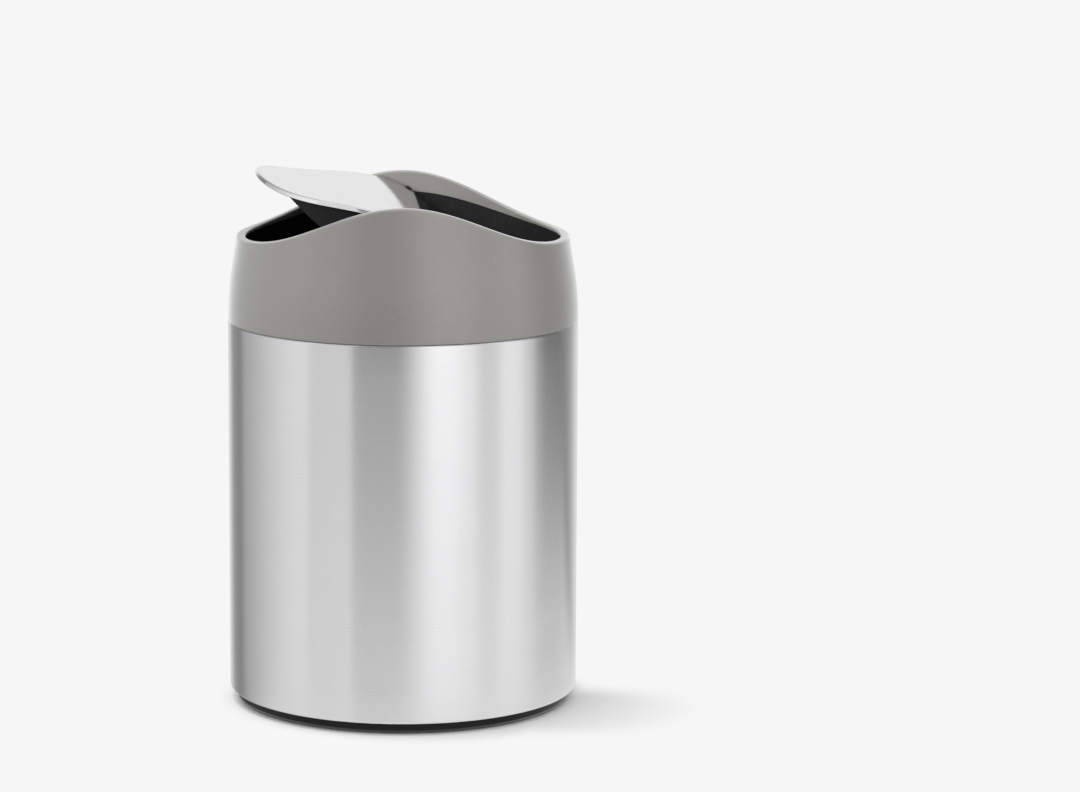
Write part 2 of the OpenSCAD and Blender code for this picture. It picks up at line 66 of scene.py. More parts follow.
# Threads of the studs under the lid: turns, sides, depth, and the chamfer at the end
STUD_TURNS = 22
STUD_SIDES = 20
THREAD_DEPTH = 0.18 * MM
STUD_CHAMFER = 0.35 * MM
# Depth of the pebble on the mouldings and of the marks on the metal
GRAIN_DEPTH = 0.02 * MM
MARK_DEPTH = 0.01 * MM

# Heights and radii that the frame gives, at the bottom and top of the steel and at the rim
FOOT_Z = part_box("body_sleeve")[0].z
SEAM_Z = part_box("body_sleeve")[1].z
RIM_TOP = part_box("collar_shell")[1].z
BODY_R = round(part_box("body_sleeve")[1].y, 3)
PIVOT_Z = next(j for j in frame["joints"] if j["name"] == "lid_swing")["pos_m"][2]


# Properties

def length(name, description, value):
    """A length in metres with a name and a description."""
    return FloatProperty(name=name, description=description, default=value, unit="LENGTH",
                         subtype="DISTANCE", precision=5)


def colour(name, description, value):
    """A colour in linear red, green and blue."""
    return FloatVectorProperty(name=name, description=description, default=value,
                               subtype="COLOR", size=3, min=0, max=1)


def share(name, description, value):
    """A plain number from 0 to 1."""
    return FloatProperty(name=name, description=description, default=value, min=0, max=1,
                         subtype="FACTOR")


class BinBody(bpy.types.PropertyGroup):
    """Sizes and finish of the steel body."""
    sheet: length("Sheet", "Thickness of the steel sheet", 0.6 * MM)
    edge_r: length("Edge radius", "Outside radius of the rounded edges", 1.0 * MM)
    hem_w: length("Bottom flange", "Width of the flange turned in at the bottom", 4.5 * MM)
    lip_w: length("Top lip", "Width of the lip turned in at the top", 2.1 * MM)
    steel: colour("Steel", "Colour of the brushed steel", (0.728, 0.725, 0.738))
    roughness: share("Roughness", "Roughness of the brushed steel", 0.26)


class BinCollar(bpy.types.PropertyGroup):
    """Sizes and finish of the wavy collar."""
    curve_r: length("Side curve", "Radius of the curve above the seam", 118 * MM)
    curve_h: length("Side curve height", "Height of the curved stretch of the side", 19 * MM)
    wave_h: length("Wave height", "Height of the wave in the rim", 15.7 * MM)
    wave_l: length("Wave length", "Length of the wave in the rim", 110.4 * MM)
    wave_p: FloatProperty(name="Crest fullness", description="1 is a plain cosine, less is fuller",
                          default=0.9, min=0.5, max=1.5)
    lip_wall: length("Lip wall", "Wall of the thick lip at the rim", 3.0 * MM)
    shell_wall: length("Shell wall", "Wall of the shell below the lip", 1.4 * MM)
    crest_drop: length("Lip depth at crests", "Depth of the lip inside, at the crests", 7.8 * MM)
    low_drop: length("Lip depth at lows", "Depth of the lip inside, at the low points", 1.6 * MM)
    outer_round: length("Outer rim radius", "Radius of the rim's outer edge", 1.1 * MM)
    inner_round: length("Inner rim radius", "Radius of the rim's inner edge", 0.7 * MM)
    foot_round: length("Foot edge radius", "Radius of the edge that meets the steel", 0.35 * MM)
    plastic: colour("Plastic", "Colour of the grey plastic", (0.222, 0.216, 0.199))
    roughness: share("Roughness", "Roughness of the grey plastic", 0.34)


class BinLid(bpy.types.PropertyGroup):
    """Sizes and finish of the lid's polished skin."""
    sink: length("Sink", "How far the level crest lies below the rim crest", 5.8 * MM)
    pin_drop: length("Pin depth", "How far the pins lie below the crest", 3.3 * MM)
    gap: length("Gap", "Gap between the lid and the lip", 1.4 * MM)
    wave_h: length("Wave height", "Height of the wave, crest to tips", 15.5 * MM)
    wave_l: length("Wave length", "Length of the wave", 107.5 * MM)
    tilt: FloatProperty(name="Tilt", description="Tilt of the lid as it is drawn",
                        default=math.radians(31.5), unit="ROTATION", subtype="ANGLE")
    sheet: length("Sheet", "Thickness of the skin", 0.7 * MM)
    skirt: length("Skirt", "Height of the edge turned down", 1.9 * MM)
    bend_r: length("Bend radius", "Outside radius of the bend into the skirt", 1.0 * MM)
    slot_r: length("Pin slot", "Radius of the slots over the pins", 1.55 * MM)
    stud_x: length("Stud reach, side", "Distance of the studs to each side", 26 * MM)
    stud_y: length("Stud reach, front", "Distance of the studs to front and back", 24 * MM)
    stud_d: length("Stud diameter", "Diameter of the studs", 2.2 * MM)
    stud_l: length("Stud length", "Length of the studs", 8.2 * MM)
    steel: colour("Polished steel", "Colour of the polished skin", (0.842, 0.842, 0.847))
    roughness: share("Roughness", "Roughness of the polished skin", 0.06)


class BinMouldings(bpy.types.PropertyGroup):
    """Finish of the black, white and rubber pieces and of the small metal ones."""
    # Partly the mouldings' own black, partly painted light: it is set a little lighter so that the
    # shaded inside of the can and ring reads brighter.
    black: colour("Black plastic", "Colour of the black mouldings", (0.028, 0.028, 0.030))
    black_roughness: share("Black roughness", "Roughness of the black mouldings", 0.42)
    # Painted shade: the same black plastic, darkened for the lid's underside and the foot so that
    # they look shaded.
    shaded_black: colour("Deep black", "Colour of the lid's underside and foot", (0.007, 0.007, 0.008))
    shaded_black_roughness: share("Deep black roughness", "Roughness of the deep black pieces", 0.32)
    rubber: colour("Rubber", "Colour of the soft pieces", (0.020, 0.020, 0.021))
    bush: colour("Bush", "Colour of the bushes", (0.78, 0.76, 0.68))
    zinc: colour("Zinc", "Colour of the zinc plated pieces", (0.60, 0.61, 0.63))
    spring: colour("Spring steel", "Colour of the clips", (0.16, 0.16, 0.17))
    bar: colour("Bar steel", "Colour of the counterweight", (0.33, 0.33, 0.34))


class BinStudio(bpy.types.PropertyGroup):
    """Camera, light and floor."""
    distance: length("Camera distance", "Distance in front of the bin's axis", 1.4234)
    height: length("Camera height", "Height above the floor", 0.357)
    pitch: FloatProperty(name="Pitch", description="How far the camera looks down",
                         default=math.radians(9.975), unit="ROTATION", subtype="ANGLE")
    lens: FloatProperty(name="Lens", description="Focal length", default=137.74, min=20, max=300,
                        unit="CAMERA")
    shift: FloatProperty(name="Shift", default=0.1268,
                         description="Sideways shift that sets the bin left of the middle")
    backdrop: share("Backdrop", "Brightness of the pale background", 0.922)
    key: FloatProperty(name="Key", description="Strength of the key light", default=0.95, min=0)
    ceiling: FloatProperty(name="Ceiling", description="Brightness overhead", default=0.75, min=0)
    walls: FloatProperty(name="Walls", description="Brightness of the walls between the cards",
                         default=0.36, min=0)


GROUPS = {"bin_body": BinBody, "bin_collar": BinCollar, "bin_lid": BinLid,
          "bin_mouldings": BinMouldings, "bin_studio": BinStudio}


# Shapes

def wave(x, height, span, fullness=1.0):
    """A raised cosine: height times ((1 + cos(360 x / span)) / 2) to the power fullness,
    level past half a span to either side."""
    across = np.minimum(np.abs(x), span / 2)
    return height * ((1 + np.cos(2 * np.pi * across / span)) / 2) ** fullness


def side_radius(z, collar):
    """Radius of the collar's outside at height z: an arc above the seam, then its tangent."""
    rise = np.clip(z - SEAM_Z, 0, collar.curve_h)
    root = math.sqrt(collar.curve_r ** 2 - collar.curve_h ** 2)
    arc = BODY_R - collar.curve_r + np.sqrt(collar.curve_r ** 2 - rise ** 2)
    return arc - np.maximum(z - SEAM_Z - collar.curve_h, 0) * collar.curve_h / root


def side_lean(collar):
    """Inward lean of the straight upper side, as a slope."""
    return collar.curve_h / math.sqrt(collar.curve_r ** 2 - collar.curve_h ** 2)


def rim_height(x, collar):
    """Height of the rim's top surface, which is the same all along Y."""
    return RIM_TOP - collar.wave_h + wave(x, collar.wave_h, collar.wave_l, collar.wave_p)


def ring_height(x, collar):
    """Height at which the thick lip ends inside, a shallower wave below the rim's."""
    height = collar.wave_h - collar.crest_drop + collar.low_drop
    top = RIM_TOP - collar.crest_drop
    return top - height + wave(x, height, collar.wave_l, collar.wave_p)


def lid_height(x, lid):
    """Height of the level lid's top above the pins."""
    return lid.pin_drop - lid.wave_h + wave(x, lid.wave_h, lid.wave_l)


def slope(curve, x, step=0.01 * MM):
    """Slope of a curve at x, from two near points."""
    return (curve(x + step) - curve(x - step)) / (2 * step)


def arc(centre, radius, start, end, steps):
    """Points of an arc about each centre (r, z), from the start angle to the end angle.
    Angles may differ from column to column. The result has one row per column."""
    share_of = np.linspace(0, 1, steps + 1)
    angle = np.asarray(start)[..., None] * (1 - share_of) + np.asarray(end)[..., None] * share_of
    return np.stack([centre[0][..., None] + radius * np.cos(angle),
                     centre[1][..., None] + radius * np.sin(angle)], axis=-1)


def line(start, end, steps):
    """Evenly spaced points from start to end, both (r, z), the last one left out."""
    share_of = np.arange(steps) / steps
    return np.stack([a[..., None] * (1 - share_of) + b[..., None] * share_of
                     for a, b in zip(start, end)], axis=-1)


def fillet(corner, back, ahead, radius, steps):
    """A rounded corner. back and ahead are unit directions (r, z) away from the corner along its
    two sides. The centre lies on their bisector, and the arc runs between the two tangent points."""
    half = np.arccos(np.clip(back[0] * ahead[0] + back[1] * ahead[1], -1, 1)) / 2
    middle = np.stack([back[0] + ahead[0], back[1] + ahead[1]])
    middle = middle / np.linalg.norm(middle, axis=0)
    centre = [corner[k] + middle[k] * radius / np.sin(half) for k in (0, 1)]
    tangent = radius / np.tan(half)
    angles = [np.arctan2(corner[1] + way[1] * tangent - centre[1],
                         corner[0] + way[0] * tangent - centre[0]) for way in (back, ahead)]
    turn = (angles[1] - angles[0] + np.pi) % (2 * np.pi) - np.pi
    return arc(centre, radius, angles[0], angles[0] + turn, steps)


def carry_round(section, angles):
    """Carries a section round the Z axis: a point (r, z) at angle a lands at
    (r cos a, r sin a, z). section holds one row of points for each angle."""
    r, z = section[..., 0], section[..., 1]
    a = angles[:, None]
    return np.stack([r * np.cos(a), r * np.sin(a), z], axis=-1)


def make_mesh(name, points, faces):
    """Puts an array of points and a list of face index arrays into a new mesh."""
    mesh = bpy.data.meshes.new(name)
    counts = np.concatenate([np.full(len(f), f.shape[1]) for f in faces])
    corners = np.concatenate([f.ravel() for f in faces])
    mesh.vertices.add(len(points))
    mesh.vertices.foreach_set("co", points.astype(np.float32).ravel())
    mesh.loops.add(len(corners))
    mesh.loops.foreach_set("vertex_index", corners.astype(np.int32))
    mesh.polygons.add(len(counts))
    mesh.polygons.foreach_set("loop_start", (np.cumsum(counts) - counts).astype(np.int32))
    mesh.update(calc_edges=True)
    mesh.validate()
    return mesh


def ring_faces(columns, rows):
    """Quads of a surface that closes both ways, round the axis and round its section."""
    i, j = np.meshgrid(np.arange(columns), np.arange(rows), indexing="ij")
    ahead, up = (i + 1) % columns, (j + 1) % rows
    return np.stack([i * rows + j, ahead * rows + j, ahead * rows + up, i * rows + up],
                    axis=-1).reshape(-1, 4)


def lens_faces(columns, rows, first=0):
    """Faces of a surface that runs from a pole over rows rings to another pole.
    The ring points come first, row by row, then the top pole and the bottom pole."""
    j, i = np.meshgrid(np.arange(rows - 1), np.arange(columns), indexing="ij")
    ahead = (i + 1) % columns
    quads = np.stack([j * columns + i, (j + 1) * columns + i, (j + 1) * columns + ahead,
                      j * columns + ahead], axis=-1).reshape(-1, 4)
    i = np.arange(columns)
    top, bottom = rows * columns, rows * columns + 1
    last = (rows - 1) * columns
    caps = np.concatenate([
        np.stack([np.full(columns, top), i, (i + 1) % columns], axis=-1),
        np.stack([np.full(columns, bottom), last + (i + 1) % columns, last + i], axis=-1)])
    return [first + quads, first + caps]


def add_piece(name, mesh, body, material, nodes, sharp=math.radians(40)):
    """Links a finished mesh as a piece of a body, with its material and the nodes it stands for."""
    piece = bpy.data.objects.new(name, mesh)
    bpy.context.scene.collection.objects.link(piece)
    mesh.materials.clear()
    mesh.materials.append(material)
    mesh.shade_smooth()
    mesh.set_sharp_from_angle(angle=sharp)
    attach(piece, body)
    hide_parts(*nodes)
    return piece


# Shader groups and materials

def new_node(tree, kind, links=None, **settings):
    """Adds a node, sets its attributes, and sets or links its inputs by name or number."""
    made = tree.nodes.new(kind)
    for key, value in settings.items():
        setattr(made, key, value)
    for key, value in (links or {}).items():
        if isinstance(value, bpy.types.NodeSocket):
            tree.links.new(value, made.inputs[key])
        else:
            made.inputs[key].default_value = value
    return made


def math_node(tree, operation, *values):
    """A Math node's result, from sockets or numbers."""
    return new_node(tree, "ShaderNodeMath", dict(enumerate(values)),
                    operation=operation).outputs[0]


def vector_node(tree, operation, *values):
    """A Vector Math node's outputs, from sockets or vectors."""
    return new_node(tree, "ShaderNodeVectorMath", dict(enumerate(values)),
                    operation=operation).outputs


def mix_shaders(tree, share_of, first, second):
    """A shader that goes from the first node's to the second one's."""
    return new_node(tree, "ShaderNodeMixShader", {
        0: share_of, 1: first.outputs[0], 2: second.outputs[0]})


def feed(tree, shader, **sockets):
    """Links sockets to a shader's inputs, named with underscores for spaces."""
    for key, socket in sockets.items():
        tree.links.new(socket, shader.inputs[key.replace("_", " ")])


def map_range(tree, value, low, high, to_low, to_high, smooth=False):
    """A value carried from one range to another, and held inside it."""
    kind = "SMOOTHSTEP" if smooth else "LINEAR"
    return new_node(tree, "ShaderNodeMapRange", {
        "Value": value, "From Min": low, "From Max": high, "To Min": to_low, "To Max": to_high},
        interpolation_type=kind).outputs["Result"]


def noise(tree, place, scale, detail, roughness=0.5, distortion=0.0):
    """A noise texture's value, from 0 to 1."""
    return new_node(tree, "ShaderNodeTexNoise", {
        "Vector": place, "Scale": scale, "Detail": detail, "Roughness": roughness,
        "Distortion": distortion}).outputs["Fac"]


def band(tree, value, start, end, start_soft, end_soft):
    """1 where value lies between start and end, 0 outside, with a soft step at each end."""
    rise = map_range(tree, value, start - start_soft / 2, start + start_soft / 2, 0.0, 1.0,
                     smooth=True)
    fall = map_range(tree, value, end - end_soft / 2, end + end_soft / 2, 1.0, 0.0, smooth=True)
    return math_node(tree, "MULTIPLY", rise, fall)


def new_group(name, inputs, outputs):
    """An empty shader group with named sockets, given as (name, kind, default)."""
    group = bpy.data.node_groups.new(name, "ShaderNodeTree")
    for title, kind, default in inputs:
        socket = group.interface.new_socket(title, in_out="INPUT", socket_type=kind)
        if default is not None:
            socket.default_value = default
    for title, kind in outputs:
        group.interface.new_socket(title, in_out="OUTPUT", socket_type=kind)
    start = group.nodes.new("NodeGroupInput")
    end = group.nodes.new("NodeGroupOutput")
    return group, start.outputs, end.inputs


def brush_lines_group():
    """Hair lines of a brushed surface: noise stretched along X and Y and squeezed along Z,
    in two sizes."""
    tree, given, out = new_group("Brush Lines", [
        ("Vector", "NodeSocketVector", None), ("Line Length", "NodeSocketFloat", 40.0),
        ("Line Density", "NodeSocketFloat", 4000.0)], [("Lines", "NodeSocketFloat")])
    lines = 0.0
    for along, across, detail, weight in ((1.0, 1.0, 3.0, 0.65), (0.35, 0.3, 1.0, 0.35)):
        reach = math_node(tree, "MULTIPLY", given["Line Length"], along)
        pitch = math_node(tree, "MULTIPLY", given["Line Density"], across)
        scale = new_node(tree, "ShaderNodeCombineXYZ", {"X": reach, "Y": reach, "Z": pitch})
        place = vector_node(tree, "MULTIPLY", given["Vector"], scale.outputs[0])[0]
        lines = math_node(tree, "ADD", lines, math_node(
            tree, "MULTIPLY", noise(tree, place, 1.0, detail, 0.6), weight))
    tree.links.new(map_range(tree, lines, 0.3, 0.7, 0.0, 1.0), out["Lines"])
    return tree


def fine_grain_group():
    """The fine pebble of a spark eroded mould, with a few paler specks and a slow cloud."""
    tree, given, out = new_group("Fine Grain", [
        ("Vector", "NodeSocketVector", None), ("Scale", "NodeSocketFloat", 2500.0),
        ("Speck Scale", "NodeSocketFloat", 900.0)],
        [("Grain", "NodeSocketFloat"), ("Specks", "NodeSocketFloat"), ("Cloud", "NodeSocketFloat")])
    for name, scale, detail, roughness, low, high in (
            ("Grain", given["Scale"], 2.0, 0.7, 0.25, 0.75),
            ("Specks", given["Speck Scale"], 1.0, 0.5, 0.60, 0.78),
            ("Cloud", 45.0, 3.0, 0.55, 0.3, 0.7)):
        value = noise(tree, given["Vector"], scale, detail, roughness)
        tree.links.new(map_range(tree, value, low, high, 0.0, 1.0), out[name])
    return tree


def handling_group():
    """Soft smears left by wiping and touching: two noises multiplied, low in contrast."""
    tree, given, out = new_group("Handling", [
        ("Vector", "NodeSocketVector", None), ("Scale", "NodeSocketFloat", 30.0)],
        [("Smear", "NodeSocketFloat")])
    broad = noise(tree, given["Vector"], given["Scale"], 4.0, distortion=0.6)
    fine = noise(tree, given["Vector"], math_node(tree, "MULTIPLY", given["Scale"], 4.0), 2.0)
    both = math_node(tree, "MULTIPLY", broad, fine)
    tree.links.new(map_range(tree, both, 0.15, 0.40, 0.0, 1.0), out["Smear"])
    return tree


def shared_group(name):
    """The shader group of that name, made at its first use."""
    makers = {"Brush Lines": brush_lines_group, "Fine Grain": fine_grain_group,
              "Handling": handling_group}
    return bpy.data.node_groups.get(name) or makers[name]()


def use_group(tree, name, **values):
    """Places a shared group in a material. Inputs are given with underscores for spaces."""
    made = new_node(tree, "ShaderNodeGroup", node_tree=shared_group(name))
    for key, value in values.items():
        socket = made.inputs[key.replace("_", " ")]
        if isinstance(value, bpy.types.NodeSocket):
            tree.links.new(value, socket)
        else:
            socket.default_value = value
    return made.outputs


def new_material(name, **values):
    """A material with one Principled shader. Constant numbers go on the shader's own sockets."""
    material = bpy.data.materials.new(name)
    material.use_nodes = True
    tree = material.node_tree
    shader = tree.nodes["Principled BSDF"]
    for key, value in values.items():
        socket = shader.inputs[key.replace("_", " ")]
        socket.default_value = (*value, 1.0) if len(np.atleast_1d(value)) == 3 else value
    where = new_node(tree, "ShaderNodeTexCoord").outputs["Object"]
    return material, tree, shader, where


def tint(tree, factor, low, high):
    """A colour that goes from low to high with factor."""
    made = new_node(tree, "ShaderNodeMix", {"Factor": factor}, data_type="RGBA")
    made.inputs["A"].default_value = (*low, 1.0)
    made.inputs["B"].default_value = (*high, 1.0)
    return made.outputs["Result"]


def scaled(base, factor):
    """A colour times a number."""
    return tuple(min(1.0, c * factor) for c in base)


def bump(tree, shader, height, strength, depth):
    """Lifts the shader's normal by a height."""
    made = new_node(tree, "ShaderNodeBump", {"Height": height, "Strength": strength,
                                             "Distance": depth})
    tree.links.new(made.outputs["Normal"], shader.inputs["Normal"])


def brushed_steel(body):
    """Steel brushed round the body: hair lines, and a reflection drawn out up and down."""
    material, tree, shader, where = new_material(
        "brushed_steel", Metallic=1.0, Anisotropic=1.0, Anisotropic_Rotation=0.25)
    lines = use_group(tree, "Brush Lines", Vector=where, Line_Length=45.0, Line_Density=6400.0)
    smear = use_group(tree, "Handling", Vector=where, Scale=22.0)["Smear"]
    tangent = new_node(tree, "ShaderNodeTangent", direction_type="RADIAL", axis="Z")
    low, high = body.roughness - 0.02, body.roughness + 0.02
    feed(tree, shader, Tangent=tangent.outputs[0],
         Base_Color=tint(tree, lines["Lines"], scaled(body.steel, 0.985),
                         scaled(body.steel, 1.015)),
         Roughness=math_node(tree, "ADD", map_range(tree, lines["Lines"], 0, 1, low, high),
                             map_range(tree, smear, 0, 1, 0.0, 0.02)))
    bump(tree, shader, lines["Lines"], 0.09, MARK_DEPTH)
    return material


def polished_steel(lid):
    """Mirror polished steel with faint wiping smears."""
    material, tree, shader, where = new_material("polished_steel", Metallic=1.0)
    smear = use_group(tree, "Handling", Vector=where, Scale=60.0)["Smear"]
    feed(tree, shader, Base_Color=tint(tree, smear, lid.steel, scaled(lid.steel, 0.96)),
         Roughness=map_range(tree, smear, 0, 1, lid.roughness, lid.roughness + 0.05))
    return material


def moulded_plastic(name, base, roughness, speck_lift=1.12, grain_scale=2600.0,
                    gloss=0.5, coat=0.0, bloom=0.0, inside=1.0):
    """Moulded plastic: fine pebble, specks and a slow change of tone. gloss is the specular
    level, coat the share of a satin skin, bloom a pale sheen at glancing angles, and inside a
    painted light: the colour of faces that look towards the axis is lifted by that factor."""
    material, tree, shader, where = new_material(
        name, Specular_IOR_Level=gloss, Coat_Weight=coat, Coat_Roughness=0.28,
        Sheen_Weight=bloom, Sheen_Roughness=0.35)
    grain = use_group(tree, "Fine Grain", Vector=where, Scale=grain_scale,
                      Speck_Scale=grain_scale / 2.4)
    tone = tint(tree, grain["Cloud"], scaled(base, 0.97), scaled(base, 1.03))
    mixed = new_node(tree, "ShaderNodeMix", {"Factor": grain["Specks"], "A": tone},
                     data_type="RGBA")
    mixed.inputs["B"].default_value = (*scaled(base, speck_lift), 1.0)
    result = mixed.outputs["Result"]
    # Painted light: faces that look towards the axis get a paler colour, standing in for light on
    # the inner face of the lip.
    if inside != 1.0:
        painted_light_lift = map_range(tree, facing_axis(tree, where), 0.3, 0.7, 1.0, inside)
        result = new_node(tree, "ShaderNodeVectorMath", {0: result, "Scale": painted_light_lift},
                          operation="SCALE").outputs[0]
    feed(tree, shader, Base_Color=result,
         Roughness=map_range(tree, grain["Grain"], 0, 1, roughness - 0.04, roughness + 0.05))
    bump(tree, shader, grain["Grain"], 0.35, GRAIN_DEPTH)
    return material


def facing_axis(tree, where):
    """1 on faces that look straight at the Z axis, 0 or less on faces that look away from it."""
    flat = vector_node(tree, "MULTIPLY", where, (-1, -1, 0))[0]
    inward = vector_node(tree, "NORMALIZE", flat)[0]
    normal = new_node(tree, "ShaderNodeTexCoord").outputs["Normal"]
    return vector_node(tree, "DOT_PRODUCT", inward, normal)["Value"]


def soft_rubber(base):
    """Matte rubber with a dull bloom."""
    material, tree, shader, where = new_material("soft_rubber", Specular_IOR_Level=0.35,
                                                 Sheen_Weight=0.08)
    grain = use_group(tree, "Fine Grain", Vector=where, Scale=1800.0, Speck_Scale=600.0)
    feed(tree, shader, Base_Color=tint(tree, grain["Cloud"], base, scaled(base, 1.5)),
         Roughness=map_range(tree, grain["Grain"], 0, 1, 0.68, 0.82))
    bump(tree, shader, grain["Grain"], 0.3, GRAIN_DEPTH)
    return material


def small_metal(name, base, roughness, line_length=600.0):
    """Turned, plated or sawn metal: short marks and an uneven gloss."""
    material, tree, shader, where = new_material(name, Metallic=1.0)
    lines = use_group(tree, "Brush Lines", Vector=where, Line_Length=line_length,
                      Line_Density=3500.0)
    smear = use_group(tree, "Handling", Vector=where, Scale=150.0)["Smear"]
    feed(tree, shader, Base_Color=tint(tree, smear, base, scaled(base, 0.8)),
         Roughness=map_range(tree, lines["Lines"], 0, 1, roughness - 0.06, roughness + 0.08))
    bump(tree, shader, lines["Lines"], 0.2, MARK_DEPTH)
    return material


# Pieces

class MESH_OT_steel_body(bpy.types.Operator):
    """Brushed steel tube with rolled edges"""
    bl_idname = "mesh.bin_steel_body"
    bl_label = "Steel Body"

    def execute(self, context):
        body = context.scene.bin_body
        angles = np.linspace(0, 2 * np.pi, BODY_STEPS, endpoint=False)
        one = np.ones(1)
        outer, inner = body.edge_r, body.edge_r - body.sheet
        edge_r, low_z, high_z = BODY_R - outer, FOOT_Z + outer, SEAM_Z - outer
        low, high = (edge_r * one, low_z * one), (edge_r * one, high_z * one)
        quarter = np.pi / 2

        def point(r, z):
            return np.array([[[r, z]]])
        section = np.concatenate([
            point(BODY_R - body.hem_w, FOOT_Z),
            arc(low, outer, -quarter * one, 0 * one, 6),
            line((BODY_R * one, low_z * one), (BODY_R * one, high_z * one), 12)[:, 1:],
            arc(high, outer, 0 * one, quarter * one, 6),
            point(BODY_R - body.lip_w, SEAM_Z),
            point(BODY_R - body.lip_w, SEAM_Z - body.sheet),
            arc(high, inner, quarter * one, 0 * one, 4),
            arc(low, inner, 0 * one, -quarter * one, 4),
            point(BODY_R - body.hem_w, FOOT_Z + body.sheet)], axis=1)
        section = np.repeat(section, len(angles), axis=0)
        points = carry_round(section, angles).reshape(-1, 3)
        mesh = make_mesh("steel_body", points, [ring_faces(len(angles), section.shape[1])])
        add_piece("steel_body", mesh, "can", brushed_steel(body), ["body_sleeve"])
        return {"FINISHED"}


def collar_angles():
    """Angles round the collar: even steps, closer ones at the lugs' ends and at the pivots."""
    lug_ends = np.concatenate([LUG_MIDDLES - LUG_HALF, LUG_MIDDLES + LUG_HALF])
    near_lugs = np.concatenate([lug_ends - LUG_STEP, lug_ends + LUG_STEP])
    window = np.linspace(-PIVOT_WINDOW, PIVOT_WINDOW, 33)
    near_pivots = np.concatenate([window + np.pi / 2, window - np.pi / 2])
    even = np.linspace(0, 2 * np.pi, RIM_STEPS, endpoint=False)
    return np.unique(np.round(np.concatenate([even, near_lugs, near_pivots]) % (2 * np.pi), 5))


# Snap lugs inside the collar, and the ears that hold the bushes
LUG_COUNT = 6
LUG_HALF = math.radians(7)
LUG_STEP = math.radians(0.12)
LUG_MIDDLES = np.radians(30 + 360 / LUG_COUNT * np.arange(LUG_COUNT))
LUG_TOP = SEAM_Z + 2.9 * MM
LUG_HEIGHT = 1.7 * MM
LUG_REACH = 1.1 * MM
PIVOT_WINDOW = math.radians(4.6)
EAR_R = 3.6 * MM
EAR_TOP = 3.1 * MM
FIT_GAP = 0.1 * MM


class MESH_OT_collar(bpy.types.Operator):
    """Grey collar with a rounded wavy rim and a thick lip inside"""
    bl_idname = "mesh.bin_collar"
    bl_label = "Collar"

    def execute(self, context):
        collar = context.scene.bin_collar
        angles = collar_angles()
        section = self.section(collar, angles)
        points = carry_round(section, angles).reshape(-1, 3)
        mesh = make_mesh("collar", points, [ring_faces(len(angles), section.shape[1])])
        # inside=1.6 paints light on the collar's inner faces, so the lip inside looks lit.
        grey = moulded_plastic("grey_plastic", collar.plastic, collar.roughness, gloss=0.9,
                               coat=0.9, bloom=1.0, inside=1.6)
        add_piece("collar", mesh, "collar", grey, ["collar_shell"])
        return {"FINISHED"}

    def section(self, collar, angles):
        """The wall's section at each angle a. Its top corners are where the leaning side, and
        the lip inside it, meet the rim's height at x = r cos a. Both are rounded by fillets, the
        inside steps back under the lip, and lugs stand out near the foot."""
        cos = np.cos(angles)
        lean = side_lean(collar) * np.ones_like(angles)
        norm = np.sqrt(1 + lean ** 2)
        up = np.stack([-lean, np.ones_like(lean)]) / norm

        def corner(inset):
            z = np.full_like(angles, RIM_TOP)
            for _ in range(12):
                r = side_radius(z, collar) - inset
                z = rim_height(r * cos, collar)
            tilt = cos * slope(lambda x: rim_height(x, collar), r * cos)
            inward = np.stack([-np.ones_like(tilt), -tilt]) / np.sqrt(1 + tilt ** 2)
            return (r, z), inward

        rim, inward = corner(0)
        lip, inward_lip = corner(collar.lip_wall)
        outer = fillet(rim, -up, inward, collar.outer_round, 8)
        inner = fillet(lip, -inward_lip, -up, collar.inner_round, 6)

        foot_r, small = BODY_R * np.ones_like(angles), collar.foot_round
        foot = arc((foot_r - small, np.full_like(angles, SEAM_Z + small)), small,
                   np.full_like(angles, -np.pi / 2), np.zeros_like(angles), 4)
        rise = np.linspace(0, 1, 26)[1:-1]
        z = foot[:, -1:, 1] + (outer[:, :1, 1] - foot[:, -1:, 1]) * rise
        side = np.stack([side_radius(z, collar), z], axis=-1)

        lip_low = self.lip_low(collar, inner[:, -1, 0] * cos)
        rise = np.linspace(0, 1, 7)[1:]
        z = inner[:, -1:, 1] + (lip_low[:, None] + small - inner[:, -1:, 1]) * rise
        inside = np.stack([side_radius(z, collar) - collar.lip_wall, z], axis=-1)
        turn = arc((inside[:, -1, 0] + small, lip_low + small), small,
                   np.full_like(angles, np.pi), np.full_like(angles, 1.5 * np.pi), 3)[:, 1:]
        recess_r = side_radius(lip_low, collar) - collar.shell_wall
        step = np.stack([recess_r, lip_low], axis=-1)[:, None]

        lug_r = side_radius(LUG_TOP, collar) - collar.shell_wall - LUG_REACH
        off = np.abs((angles[:, None] - LUG_MIDDLES + np.pi) % (2 * np.pi) - np.pi).min(axis=1)
        on_lug = off <= LUG_HALF + LUG_STEP / 2
        fade = np.linspace(1, 0, 9)[1:-1]
        z = np.concatenate([LUG_TOP + (lip_low[:, None] - LUG_TOP) * fade,
                            np.broadcast_to(LUG_TOP + np.array([0, -0.3 * MM, 0.3 * MM - LUG_HEIGHT,
                                                                -LUG_HEIGHT]), (len(angles), 4)),
                            np.full((len(angles), 1), SEAM_Z)], axis=1)
        r = side_radius(z, collar) - collar.shell_wall
        r[:, -4:-2] = np.where(on_lug[:, None], lug_r, r[:, -4:-2])
        back = np.stack([r, z], axis=-1)
        return np.concatenate([foot, side, outer, inner, inside, turn, step, back], axis=1)

    def lip_low(self, collar, x):
        """Height of the lip's lower edge: the ring's wave, raised round the ears at the pivots."""
        low = ring_height(x, collar) + FIT_GAP
        reach = EAR_R + FIT_GAP
        ear = np.sqrt(np.maximum(reach ** 2 - x ** 2, 0))
        ear_top = PIVOT_Z + np.minimum(ear, EAR_TOP + FIT_GAP)
        return np.where(np.abs(x) < reach, np.maximum(low, ear_top), low)


